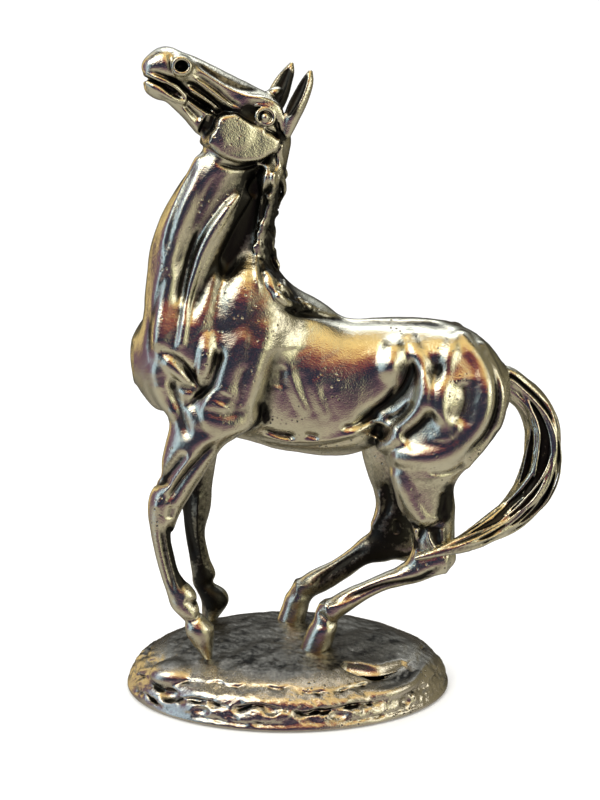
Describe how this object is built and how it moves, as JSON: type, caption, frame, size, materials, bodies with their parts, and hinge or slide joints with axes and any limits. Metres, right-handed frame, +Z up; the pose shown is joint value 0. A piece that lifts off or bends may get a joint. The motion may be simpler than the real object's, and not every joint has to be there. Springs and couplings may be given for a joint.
{
  "type": "bronze horse statue",
  "caption": "Free-standing bronze of a young horse with its head turned, poised on an oval rocky plinth with a felt-backed base.",
  "frame": {"origin": "middle of the resting face, under the oval plinth", "axes": "+Z up; the horse faces -X; its left side, the side seen in the front view, is on -Y"},
  "size_m": [0.1735, 0.088, 0.2494],
  "materials": {
    "polished_bronze": "polished cast bronze, pale yellow-brown, nearly black patina in the hollows, small casting pits",
    "patinated_bronze": "dark brown-grey patina with brushed and rubbed high spots, rocky",
    "pin_bronze": "drawn bronze rod",
    "sheet_brass": "rolled sheet, satin",
    "brass_hardware": "turned, bright",
    "steel_hardware": "zinc-plated steel",
    "felt": "dark green wool felt"
  },
  "bodies": {
    "root": {"plinth": "patinated_bronze", "bottom_plate": "sheet_brass", "felt_pad": "felt", "plate_screws": "brass_hardware", "fore_studs": "steel_hardware", "hind_studs": "steel_hardware", "fore_washers": "steel_hardware", "hind_washers": "steel_hardware", "fore_nuts": "steel_hardware", "hind_nuts": "steel_hardware", "seam_pins": "pin_bronze", "core_plugs": "polished_bronze", "body": "polished_bronze", "neck": "polished_bronze", "head": "polished_bronze", "left_foreleg": "polished_bronze", "right_foreleg": "polished_bronze", "left_hind_leg": "polished_bronze", "right_hind_leg": "polished_bronze", "tail": "polished_bronze"}
  },
  "joints": []
}
